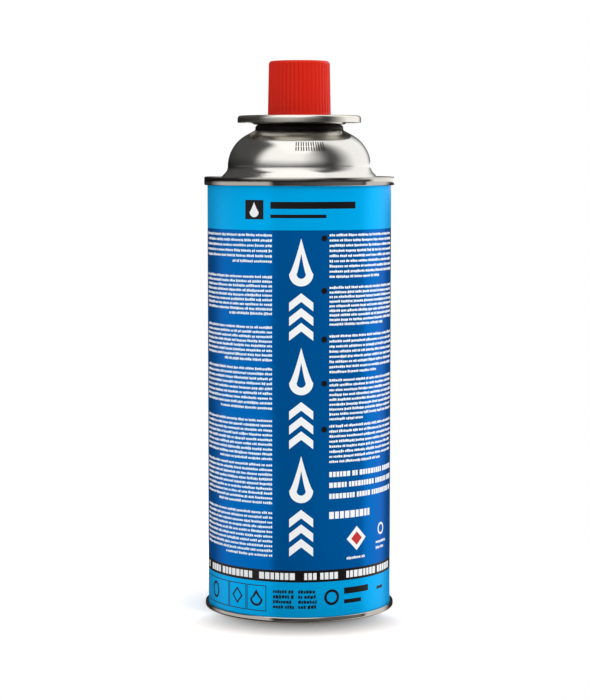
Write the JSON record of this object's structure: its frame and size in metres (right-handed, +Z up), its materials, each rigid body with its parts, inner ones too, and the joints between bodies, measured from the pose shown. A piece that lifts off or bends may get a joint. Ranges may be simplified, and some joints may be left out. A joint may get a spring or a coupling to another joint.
{
  "type": "fuel canister",
  "caption": "Round seamed gas canister with a domed top, a notched bayonet collar, a sprung valve and a ribbed push-in cap.",
  "frame": {"origin": "on the can's axis, in the plane that the lower seam stands on", "axes": "+Z up along the can's axis towards the cap; +Y towards the key notch in the collar, at the back"},
  "size_m": [0.0684, 0.0684, 0.1966],
  "materials": {
    "printed_tinplate": "gloss print on tinplate",
    "collar_steel": "bright pressed steel",
    "cup_steel": "bright tinplate",
    "black_rubber": "matte",
    "white_nylon": "moulded",
    "spring_steel": "drawn wire",
    "stem_brass": "turned",
    "red_plastic": "moulded, satin"
  },
  "bodies": {
    "canister": {"can": "printed_tinplate", "bayonet_collar": "collar_steel", "valve_cup": "cup_steel", "mouth_gasket": "black_rubber", "stem_gasket": "black_rubber", "valve_housing": "white_nylon", "stem_spring": "spring_steel"},
    "stem": {"valve_stem": "stem_brass"},
    "cap": {"cap": "red_plastic"}
  },
  "joints": [
    {"name": "cap_pull", "type": "slide", "parent": "canister", "child": "cap", "axis": [0, 0, 1], "range_m": [0, 0.03]},
    {"name": "stem_press", "type": "slide", "parent": "canister", "child": "stem", "axis": [0, 0, -1], "range_m": [0, 0.0025], "stiffness_N_per_m": 2000, "springref_m": -0.001, "deforming": ["stem_spring"]}
  ]
}
